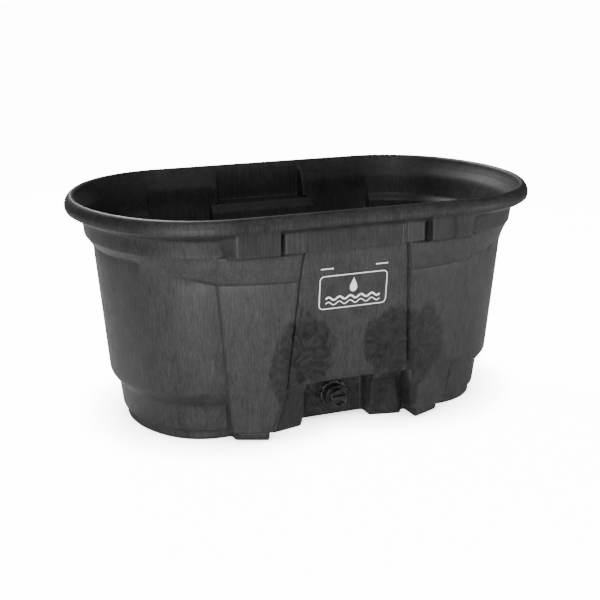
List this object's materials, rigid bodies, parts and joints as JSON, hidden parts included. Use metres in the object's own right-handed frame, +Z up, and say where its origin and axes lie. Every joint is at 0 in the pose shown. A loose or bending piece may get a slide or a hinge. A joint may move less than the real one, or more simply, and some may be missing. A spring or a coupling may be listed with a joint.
{
  "type": "livestock water trough",
  "caption": "Oval open-topped stock tank with rolled rim, stepped bands, moulded pilasters and legs, and a screw drain plug in a recess.",
  "frame": {"origin": "centre of the base, on the ground", "axes": "X along the tank, -Y towards the drain, +Z up"},
  "size_m": [1.3456, 0.787, 0.635],
  "materials": {
    "tank_plastic": "matte structural-foam moulding",
    "fitting_plastic": "matte",
    "plug_plastic": "satin",
    "seal_rubber": "matte",
    "label_ink": "matte with pale print"
  },
  "bodies": {
    "tank": {"tank_body": "tank_plastic", "drain_bushing": "fitting_plastic", "drain_inner_gasket": "seal_rubber", "drain_outer_washer": "seal_rubber", "drain_lock_nut": "fitting_plastic", "label_plate": "label_ink"},
    "seal": {"plug_seal": "seal_rubber"},
    "plug": {"drain_plug": "plug_plastic"}
  },
  "joints": [
    {"name": "plug_lift", "type": "slide", "parent": "tank", "child": "seal", "axis": [0, -1, 0], "range_m": [0, 0.02]},
    {"name": "plug_turn", "type": "hinge", "parent": "seal", "child": "plug", "pos_m": [0, -0.26, 0.076], "axis": [0, -1, 0], "range_deg": [0, 1801]}
  ],
  "couplings": [
    {"joint": "plug_turn", "follows": "plug_lift", "rad_per_m": 1570.8}
  ]
}
